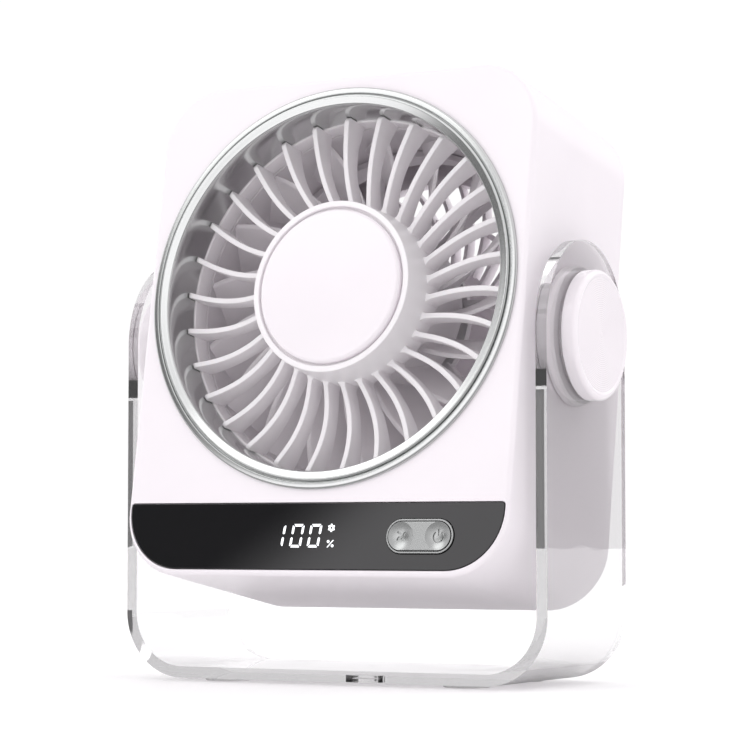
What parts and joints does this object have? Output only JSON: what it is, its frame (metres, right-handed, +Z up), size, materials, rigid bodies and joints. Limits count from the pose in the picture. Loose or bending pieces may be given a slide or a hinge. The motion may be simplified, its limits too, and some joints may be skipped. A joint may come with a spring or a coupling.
{
  "type": "box fan",
  "caption": "Small desk-top box fan: a rounded square white head with a finned air outlet and an impeller, tilting on two side pivots in a clear U-shaped stand.",
  "frame": {"origin": "centre of the bounding box, at its lowest face (the foot pads on the table)", "axes": "+Z up, the fan's face looks along -Y, +X to the right seen from the front"},
  "size_m": [0.1762, 0.1048, 0.2109],
  "materials": {
    "clear_acrylic": "clear, polished 4 mm sheet",
    "white_shell": "white ABS, satin-gloss moulded skin",
    "inner_plastic": "white ABS, as moulded",
    "satin_chrome": "satin chrome plating on ABS",
    "satin_key": "satin nickel-chrome plating on ABS",
    "smoked_window": "piano-black smoked PMMA sheet",
    "steel": "zinc-plated steel",
    "copper_winding": "enamelled copper wire",
    "magnet": "sintered ferrite",
    "circuit_board": "glass-epoxy board, green solder mask",
    "cell_sleeve": "shrink sleeve",
    "black_plastic": "black nylon, as moulded",
    "led_diffuser": "milky diffuser"
  },
  "bodies": {
    "stand": {"stand_yoke": "clear_acrylic", "foot_pad_front_left": "clear_acrylic", "foot_pad_front_right": "clear_acrylic", "foot_pad_rear_left": "clear_acrylic", "foot_pad_rear_right": "clear_acrylic"},
    "head": {"charge_light_pipe": "clear_acrylic", "front_shell": "white_shell", "back_cover": "white_shell", "front_grille": "white_shell", "hub_cap": "white_shell", "rear_grille": "white_shell", "trunnion_left": "white_shell", "trunnion_right": "white_shell", "knob_left": "white_shell", "knob_right": "white_shell", "duct_liner": "inner_plastic", "motor_mount": "inner_plastic", "spacer_washer_left": "inner_plastic", "spacer_washer_right": "inner_plastic", "trim_ring": "satin_chrome", "key_bezel": "satin_key", "display_window": "smoked_window", "stator_core": "steel", "shaft_bearing_front": "steel", "shaft_bearing_rear": "steel", "rocker_pin": "steel", "usb_socket": "steel", "pivot_bracket_left": "steel", "pivot_bracket_right": "steel", "pivot_screw_left": "steel", "pivot_screw_right": "steel", "cover_screw_1": "steel", "cover_screw_2": "steel", "cover_screw_3": "steel", "cover_screw_4": "steel", "liner_screw_1": "steel", "liner_screw_2": "steel", "liner_screw_3": "steel", "liner_screw_4": "steel", "stator_winding": "copper_winding", "motor_board": "circuit_board", "control_board": "circuit_board", "charging_board": "circuit_board", "battery_cell_1": "cell_sleeve", "battery_cell_2": "cell_sleeve", "battery_tray": "black_plastic", "tact_switch_speed": "black_plastic", "tact_switch_power": "black_plastic", "usb_tongue": "black_plastic", "led_display": "led_diffuser"},
    "impeller": {"impeller": "inner_plastic", "motor_shaft": "steel", "rotor_flux_ring": "steel", "rotor_magnet_ring": "magnet"},
    "key": {"rocker_key": "satin_key"}
  },
  "joints": [
    {"name": "head_tilt", "type": "hinge", "parent": "stand", "child": "head", "pos_m": [0, -0.00443, 0.1186], "axis": [1, 0, 0], "range_deg": [-80.4, 54.6]},
    {"name": "impeller_spin", "type": "hinge", "parent": "head", "child": "impeller", "pos_m": [0, -0.00234, 0.13093], "axis": [0, 0.986, -0.1668], "continuous": true},
    {"name": "key_rock", "type": "hinge", "parent": "head", "child": "key", "pos_m": [0.0423, -0.04578, 0.04983], "axis": [0, 0.1668, 0.986], "range_deg": [-2, 2], "stiffness_Nm_per_rad": 0.35}
  ]
}
